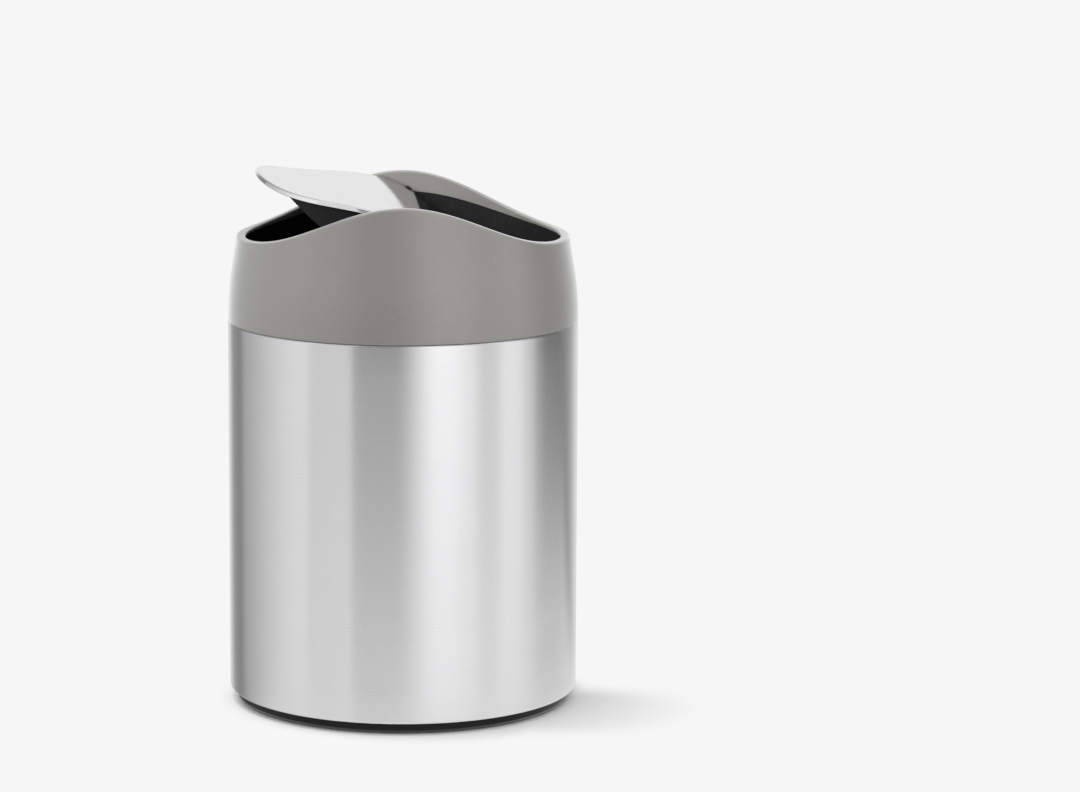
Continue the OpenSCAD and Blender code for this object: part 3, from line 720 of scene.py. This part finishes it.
class MESH_OT_lid_skin(bpy.types.Operator):
    """Polished waved lid with its edge turned down"""
    bl_idname = "mesh.bin_lid_skin"
    bl_label = "Lid Skin"

    def execute(self, context):
        lid, collar = context.scene.bin_lid, context.scene.bin_collar
        crest = RIM_TOP - lid.sink
        radius = side_radius(np.array(crest), collar) - collar.lip_wall - lid.gap
        window = np.linspace(-0.05, 0.05, 25)
        angles = np.unique(np.round(np.concatenate([
            np.linspace(0, 2 * np.pi, RIM_STEPS, endpoint=False), np.pi / 2 + window,
            1.5 * np.pi + window]), 5))
        rings, poles = self.surface(lid, float(radius), angles)
        points = np.concatenate([rings.reshape(-1, 3), poles])
        faces = lens_faces(len(angles), rings.shape[0])
        for x in (-lid.stud_x, lid.stud_x):
            for y in (-lid.stud_y, lid.stud_y):
                stud, stud_faces = self.stud(lid, x, y, len(points))
                points = np.concatenate([points, stud])
                faces += stud_faces
        points = self.tilted(lid, points)
        mesh = make_mesh("lid_polished_skin", points, faces)
        add_piece("lid_polished_skin", mesh, "push_lid", polished_steel(lid),
                  ["lid_skin"], sharp=math.radians(50))
        return {"FINISHED"}

    def surface(self, lid, radius, angles):
        """The level skin about the pins, ring by ring from the middle of its top to the middle of
        its underside. Its height is the lid's wave at x = r cos a, and at the edge an arc turns
        from that slope to straight down, for the skirt. The underside is one sheet lower."""
        cos = np.cos(angles)

        def height(r):
            return lid_height(r * cos, lid)

        def bend(edge, r_bend, drop):
            tilt = cos * slope(lambda x: lid_height(x, lid), (edge - r_bend) * cos)
            beta = np.arctan(tilt)
            start_r = edge - r_bend * (1 + np.sin(beta))
            centre = (np.full_like(cos, edge - r_bend),
                      height(start_r) - drop - r_bend * np.cos(beta))
            return start_r, arc(centre, r_bend, beta + np.pi / 2, 0 * beta, 8)

        top_r, outer = bend(radius, lid.bend_r, 0)
        under_r, inner = bend(radius - lid.sheet, lid.bend_r - lid.sheet, lid.sheet)
        x_edge = radius * cos
        slot = np.where(np.abs(x_edge) < lid.slot_r, np.sqrt(np.maximum(
            lid.slot_r ** 2 - x_edge ** 2, 0)), -1)
        low = np.maximum(lid_height(x_edge, lid) - lid.skirt, slot)
        half = lid.sheet / 2
        hem = arc((np.full_like(cos, radius - half), low + half), half, 0 * cos, 0 * cos - np.pi, 6)
        spread = np.linspace(0, 1, 65)[1:-1]

        def disc(r_end, drop):
            r = r_end[:, None] * spread
            return np.stack([r, lid_height(r * cos[:, None], lid) - drop], axis=-1)
        section = np.concatenate([
            disc(top_r, 0), outer, hem, inner[:, ::-1], disc(under_r, lid.sheet)[:, ::-1]], axis=1)
        rings = np.swapaxes(carry_round(section, angles), 0, 1)
        poles = np.array([[0, 0, lid.pin_drop], [0, 0, lid.pin_drop - lid.sheet]])
        return rings, poles

    def stud(self, lid, x, y, first):
        """A threaded stud: a lathe shape whose radius goes in and out with its thread, closed at
        both ends, set at (x, y) under the skin. Its top follows the slope of the skin."""
        steps = np.arange(2 * STUD_TURNS + 1)
        down = steps[:, None] / steps[-1]
        r = lid.stud_d / 2 - np.where(steps % 2 == 0, 0.0, THREAD_DEPTH)
        r[-1] = lid.stud_d / 2 - STUD_CHAMFER
        angles = np.linspace(0, 2 * np.pi, STUD_SIDES, endpoint=False)
        ring_x = x + r[:, None] * np.cos(angles)
        middle = lid_height(np.array(x), lid) - lid.sheet / 2
        low = middle - lid.stud_l
        ring_z = (lid_height(ring_x, lid) - lid.sheet / 2) * (1 - down) + low * down
        rings = np.stack([ring_x, y + r[:, None] * np.sin(angles), ring_z], axis=-1)
        poles = np.array([[x, y, middle], [x, y, low]])
        points = np.concatenate([rings.reshape(-1, 3), poles])
        return points, lens_faces(len(angles), len(down), first)

    def tilted(self, lid, points):
        """Turns level points about the pins by the drawn tilt and lifts them to the pins."""
        c, s = math.cos(lid.tilt), math.sin(lid.tilt)
        x, y, z = points.T
        return np.stack([x * c + z * s, y, PIVOT_Z - x * s + z * c], axis=-1)


def dressed_node(node, name, body, material, round_mm):
    """A merged copy of a CAD node with its crisp edges rounded by a narrow bevel."""
    sharp = math.radians(35)
    mesh = frame["nodes"][node].data.copy()
    mesh.name = name
    made = bmesh.new()
    made.from_mesh(mesh)
    bmesh.ops.remove_doubles(made, verts=made.verts, dist=0.001 * MM)
    bmesh.ops.dissolve_limit(made, angle_limit=math.radians(0.3), verts=made.verts,
                             edges=made.edges)
    made.to_mesh(mesh)
    made.free()
    for layer in [a for a in mesh.attributes if a.name == "custom_normal"]:
        mesh.attributes.remove(layer)
    piece = add_piece(name, mesh, body, material, [node], sharp)
    edges = piece.modifiers.new("Rounded edges", "BEVEL")
    edges.width = round_mm * MM
    edges.segments = 2
    edges.limit_method = "ANGLE"
    edges.angle_limit = sharp
    edges.harden_normals = True


# Pieces that are dressed CAD nodes, for each body: node, name, slot, material and edge radius
# in millimetres. A node that ends in an underscore stands at the front and at the rear
CAN_PIECES = [
    ("inner_can", "waste_can", "black_moulding", "black_plastic", 0.25),
    # The foot cap takes the black that is darkened as painted shade.
    ("base_cap", "foot_cap", "black_moulding", "shaded_black", 0.25),
    ("base_screws", "foot_screws", "screw_steel", "zinc_plate", 0.15),
    ("grip_ring", "foot_ring", "soft_rubber", "soft_rubber", 0.3),
]
COLLAR_PIECES = [
    ("inner_ring", "carrier_ring", "black_moulding", "black_plastic", 0.2),
    ("seal_ring", "plug_seal", "soft_rubber", "soft_rubber", 0.15),
    ("pivot_bush_", "bush_", "white_bush", "white_plastic", 0.1),
    ("stop_bumper_", "stop_", "soft_rubber", "soft_rubber", 0.25),
]
LID_PIECES = [
    # The lid's underside takes the black that is darkened as painted shade.
    ("lid_belly", "lid_underside", "black_moulding", "shaded_black", 0.2),
    ("counterweight", "weight_bar", "raw_steel", "bar_steel", 0.3),
    ("weight_screws", "bar_screws", "screw_steel", "zinc_plate", 0.15),
    ("stud_nuts", "skin_nuts", "screw_steel", "zinc_plate", 0.15),
    ("pivot_pin_", "pin_", "screw_steel", "zinc_plate", 0.1),
    ("pin_clip_", "clip_", "spring_steel", "spring_steel", 0.08),
]


def dress_pieces(context, body, pieces):
    """Dresses the listed nodes of a body."""
    finish = context.scene.bin_mouldings
    for node, name, slot_name, material, round_mm in pieces:
        for side in ("front", "rear") if node.endswith("_") else ("",):
            dressed_node(node + side, name + side, body,
                         shared_material(material, finish), round_mm)
    return {"FINISHED"}


class MESH_OT_can_and_foot(bpy.types.Operator):
    """Black can inside the steel, the foot cap, its screws and the soft ring it stands on"""
    bl_idname = "mesh.bin_can_and_foot"
    bl_label = "Can and Foot"

    def execute(self, context):
        return dress_pieces(context, "can", CAN_PIECES)


class MESH_OT_ring_and_seal(bpy.types.Operator):
    """Black ring inside the collar with its seal, bushes and rubber stops"""
    bl_idname = "mesh.bin_ring_and_seal"
    bl_label = "Ring and Seal"

    def execute(self, context):
        return dress_pieces(context, "collar", COLLAR_PIECES)


class MESH_OT_lid_works(bpy.types.Operator):
    """Belly under the lid with its weight, screws, nuts, pins and clips"""
    bl_idname = "mesh.bin_lid_works"
    bl_label = "Lid Works"

    def execute(self, context):
        return dress_pieces(context, "push_lid", LID_PIECES)


def shared_material(name, finish):
    """One of the materials that several pieces use, made at its first use."""
    makers = {
        # The black of the can and ring is partly painted light, set lighter for the shaded mouth.
        "black_plastic": lambda: moulded_plastic("black_plastic", finish.black,
                                                 finish.black_roughness, 1.6, 1500.0,
                                                 gloss=0.15),
        # The second black is the same plastic darkened as painted shade for the lid's underside and
        # foot.
        "shaded_black": lambda: moulded_plastic("shaded_black", finish.shaded_black,
                                             finish.shaded_black_roughness, 1.6, 1500.0, gloss=0.18),
        "white_plastic": lambda: moulded_plastic("white_plastic", finish.bush, 0.32, 1.03, 1200.0),
        "soft_rubber": lambda: soft_rubber(finish.rubber),
        "zinc_plate": lambda: small_metal("zinc_plate", finish.zinc, 0.28),
        "spring_steel": lambda: small_metal("spring_steel", finish.spring, 0.36),
        "bar_steel": lambda: small_metal("bar_steel", finish.bar, 0.45, 90.0),
    }
    return bpy.data.materials.get(name) or makers[name]()


# Stage

# Light cards round the bin. Azimuths run from the camera's side towards +X, in degrees: where
# a card starts and ends, how soft each end is, and what it adds to the walls or takes from them
CARDS = {
    "main softbox": (9, 44, 30, 24, 0.97),
    "front shade": (-32, 6, 20, 20, -0.05),
    "right panel": (42, 96, 12, 8, 0.41),
    "second softbox": (66, 86, 10, 12, 0.32),
    "right flag": (104, 130, 8, 20, -0.17),
    "left panel": (-65, -33.4, 2, 3, 0.43),
    "left window": (-131, -65, 2, 2, 0.14),
    "left window's heart": (-104, -65, 66, 2, 0.46),
    "left flag": (-146, -131, 28, 2, -0.07),
    "backdrop": (150, 204, 28, 16, 0.50),
}
CARD_TOP = 62
CARD_FADE = 36
# High softbox: azimuths and elevations of its ends, their softness, and its gain
HIGH_BOX = (-160, 132, 38, 70, 24, 1.50)
FLOOR_HALF = 20.0
# The floor's own tone, and the share of it that lights the bin from below
FLOOR_TONE = 0.675
FLOOR_BOUNCE = 0.6
# The camera sees the shadow close to the foot, fading out between these distances from a middle,
# and to the right in an oval given by its middle and half widths. The rest is plain background
FOOT_MIDDLE = (0.002, -0.008, 0)
FOOT_SHADOW = (0.056, 0.070)
SIDE_SHADOW = (0.056, -0.026, 0)
SIDE_SHADOW_SIZE = (0.068, 0.042, 1)
SIDE_SHADOW_START = 0.45
# Polished parts see the plain floor near the bin, but not on the side away from FLOOR_WAY,
# and see the room beyond. Along FLOOR_WAY that floor gets brighter
MIRRORED_REACH = (0.16, 0.60)
FLOOR_WAY = (0.57, -0.82, 0)
FLOOR_WAY_START = (-0.03, 0.03)
FLOOR_FRONT = (0.02, 0.12)
FLOOR_FRONT_GAIN = 1.12
# Where the key light stands: azimuth as for the cards, elevation, and its angle across
KEY_PLACE = (-112, 77)
KEY_ANGLE = 24


class SCENE_OT_stage(bpy.types.Operator):
    """Floor, light and camera"""
    bl_idname = "scene.bin_stage"
    bl_label = "Stage"

    def execute(self, context):
        studio = context.scene.bin_studio
        self.floor(studio)
        self.room(context, studio)
        self.key_light(studio)
        self.camera(context, studio)
        context.scene.view_settings.view_transform = "Standard"
        return {"FINISHED"}

    def floor(self, studio):
        """A wide pale floor. Past the soft shadow it is the plain background, also in what the
        polished parts mirror."""
        half = FLOOR_HALF
        corners = np.array([[-half, -half, 0], [half, -half, 0], [half, half, 0], [-half, half, 0]])
        mesh = make_mesh("floor", corners, [np.array([[0, 1, 2, 3]])])
        material = bpy.data.materials.new("pale_floor")
        material.use_nodes = True
        tree = material.node_tree
        tree.nodes.clear()
        where = new_node(tree, "ShaderNodeTexCoord").outputs["Object"]
        path = new_node(tree, "ShaderNodeLightPath").outputs
        away = vector_node(tree, "LENGTH", where)["Value"]
        along = vector_node(tree, "DOT_PRODUCT", where, FLOOR_WAY)["Value"]
        near = math_node(tree, "MULTIPLY",
                         map_range(tree, away, *MIRRORED_REACH, 1.0, 0.0, smooth=True),
                         map_range(tree, along, *FLOOR_WAY_START, 0.0, 1.0, smooth=True))
        clear = math_node(tree, "MULTIPLY", path["Is Glossy Ray"],
                          math_node(tree, "SUBTRACT", 1.0, near))
        tone = math_node(tree, "MULTIPLY", FLOOR_TONE, map_range(
            tree, path["Is Diffuse Ray"], 0.0, 1.0, 1.0, FLOOR_BOUNCE))
        diffuse = new_node(tree, "ShaderNodeBsdfDiffuse", {"Color": tone})
        front = map_range(tree, along, *FLOOR_FRONT, studio.backdrop,
                          studio.backdrop * FLOOR_FRONT_GAIN, smooth=True)
        glow = new_node(tree, "ShaderNodeEmission", {
            "Color": WHITE,
            "Strength": math_node(tree, "MAXIMUM", studio.backdrop, math_node(
                tree, "MULTIPLY", path["Is Glossy Ray"], front))})
        foot_reach = vector_node(tree, "DISTANCE", where, FOOT_MIDDLE)["Value"]
        aside = vector_node(tree, "SUBTRACT", where, SIDE_SHADOW)[0]
        oval = vector_node(tree, "DIVIDE", aside, SIDE_SHADOW_SIZE)[0]
        oval_reach = vector_node(tree, "LENGTH", oval)["Value"]
        plain = math_node(tree, "MINIMUM",
                          map_range(tree, foot_reach, *FOOT_SHADOW, 0.0, 1.0, smooth=True),
                          map_range(tree, oval_reach, SIDE_SHADOW_START, 1.0, 0.0, 1.0,
                                    smooth=True))
        share_seen = math_node(tree, "ADD", path["Is Glossy Ray"],
                               math_node(tree, "MULTIPLY", path["Is Camera Ray"], plain))
        lit = mix_shaders(tree, share_seen, diffuse, glow)
        mixed = mix_shaders(tree, clear, lit, new_node(tree, "ShaderNodeBsdfTransparent"))
        end = new_node(tree, "ShaderNodeOutputMaterial", {"Surface": mixed.outputs[0]})
        end.is_active_output = True
        floor = bpy.data.objects.new("floor", mesh)
        bpy.context.scene.collection.objects.link(floor)
        mesh.materials.append(material)

    def room(self, context, studio):
        """The room's light: walls with brighter cards and darker flags round the bin at the
        height of the side, a high softbox that leaves no mirror image, and a plain ceiling. The
        camera sees the plain background."""
        world = bpy.data.worlds.new("studio_room")
        context.scene.world = world
        world.use_nodes = True
        tree = world.node_tree
        tree.nodes.clear()
        way = new_node(tree, "ShaderNodeTexCoord").outputs["Generated"]
        parts = new_node(tree, "ShaderNodeSeparateXYZ", {0: way}).outputs
        azimuth = math_node(tree, "DEGREES", math_node(
            tree, "ARCTAN2", parts["X"], math_node(tree, "MULTIPLY", parts["Y"], -1.0)))
        height = math_node(tree, "DEGREES", math_node(tree, "ARCSINE", parts["Z"]))
        total = studio.walls
        for start, end, start_soft, end_soft, gain in CARDS.values():
            middle, half = (start + end) / 2, (end - start) / 2
            off = math_node(tree, "WRAP", math_node(tree, "SUBTRACT", azimuth, middle), 180, -180)
            card = band(tree, off, -half, half, start_soft, end_soft)
            total = math_node(tree, "ADD", total, math_node(tree, "MULTIPLY", card, gain))
        upward = map_range(tree, height, CARD_TOP - CARD_FADE / 2, CARD_TOP + CARD_FADE / 2,
                           0.0, 1.0, smooth=True)
        level = new_node(tree, "ShaderNodeMix", {"Factor": upward}, data_type="FLOAT")
        tree.links.new(total, level.inputs["A"])
        level.inputs["B"].default_value = studio.ceiling
        path = new_node(tree, "ShaderNodeLightPath").outputs
        left, right, low, high, soft, gain = HIGH_BOX
        unmirrored = math_node(tree, "SUBTRACT", 1.0, path["Is Glossy Ray"])
        high_box = math_node(tree, "MULTIPLY", band(tree, azimuth, left, right, soft, soft),
                             band(tree, height, low, high, soft, soft))
        high_box = math_node(tree, "MULTIPLY", high_box,
                             math_node(tree, "MULTIPLY", unmirrored, gain))
        light = new_node(tree, "ShaderNodeBackground", {
            "Color": WHITE,
            "Strength": math_node(tree, "ADD", level.outputs["Result"], high_box)})
        plain = new_node(tree, "ShaderNodeBackground", {"Color": WHITE,
                                                        "Strength": studio.backdrop})
        mixed = mix_shaders(tree, path["Is Camera Ray"], light, plain)
        new_node(tree, "ShaderNodeOutputWorld", {"Surface": mixed.outputs[0]})

    def key_light(self, studio):
        """A broad soft sun high at the back left: a faint shadow falls to the right. It has no
        highlight of its own, because the cards are what the polished parts mirror."""
        lamp = bpy.data.lights.new("key_sun", "SUN")
        lamp.energy = studio.key
        lamp.angle = math.radians(KEY_ANGLE)
        key = bpy.data.objects.new("key_sun", lamp)
        key.visible_glossy = False
        bpy.context.scene.collection.objects.link(key)
        azimuth, elevation = (math.radians(a) for a in KEY_PLACE)
        towards = Vector((math.sin(azimuth) * math.cos(elevation),
                          -math.cos(azimuth) * math.cos(elevation), math.sin(elevation)))
        key.rotation_mode = "QUATERNION"
        key.rotation_quaternion = towards.to_track_quat("Z", "Y")

    def camera(self, context, studio):
        """The camera looks along +Y and down, with a small sideways shift for the framing."""
        data = bpy.data.cameras.new("camera")
        data.lens = studio.lens
        data.sensor_width = 36
        data.shift_x = studio.shift
        camera = bpy.data.objects.new("camera", data)
        context.scene.collection.objects.link(camera)
        camera.location = (0, -studio.distance, studio.height)
        camera.rotation_euler = (math.pi / 2 - studio.pitch, 0, 0)
        context.scene.camera = camera


OPERATORS = [MESH_OT_steel_body, MESH_OT_can_and_foot, MESH_OT_collar, MESH_OT_ring_and_seal,
             MESH_OT_lid_skin, MESH_OT_lid_works, SCENE_OT_stage]


class VIEW3D_PT_bin(bpy.types.Panel):
    """Lists the pieces of the bin and their sizes"""
    bl_label = "Push Top Bin"
    bl_idname = "VIEW3D_PT_bin"
    bl_space_type = "VIEW_3D"
    bl_region_type = "UI"
    bl_category = "Bin"

    def draw(self, context):
        for operator in OPERATORS:
            self.layout.operator(operator.bl_idname)
        for name, group in GROUPS.items():
            box = self.layout.box()
            box.label(text=group.__doc__.rstrip("."))
            for key in group.__annotations__:
                box.prop(getattr(context.scene, name), key)


def register():
    for group in GROUPS.values():
        bpy.utils.register_class(group)
    for cls in [*OPERATORS, VIEW3D_PT_bin]:
        bpy.utils.register_class(cls)
    for name, group in GROUPS.items():
        setattr(bpy.types.Scene, name, PointerProperty(type=group))


def unregister():
    for name in GROUPS:
        delattr(bpy.types.Scene, name)
    for cls in [VIEW3D_PT_bin, *reversed(OPERATORS), *reversed(GROUPS.values())]:
        bpy.utils.unregister_class(cls)


def main():
    register()
    for operator in OPERATORS:
        family, name = operator.bl_idname.split(".")
        getattr(getattr(bpy.ops, family), name)()


if __name__ == "__main__":
    main()
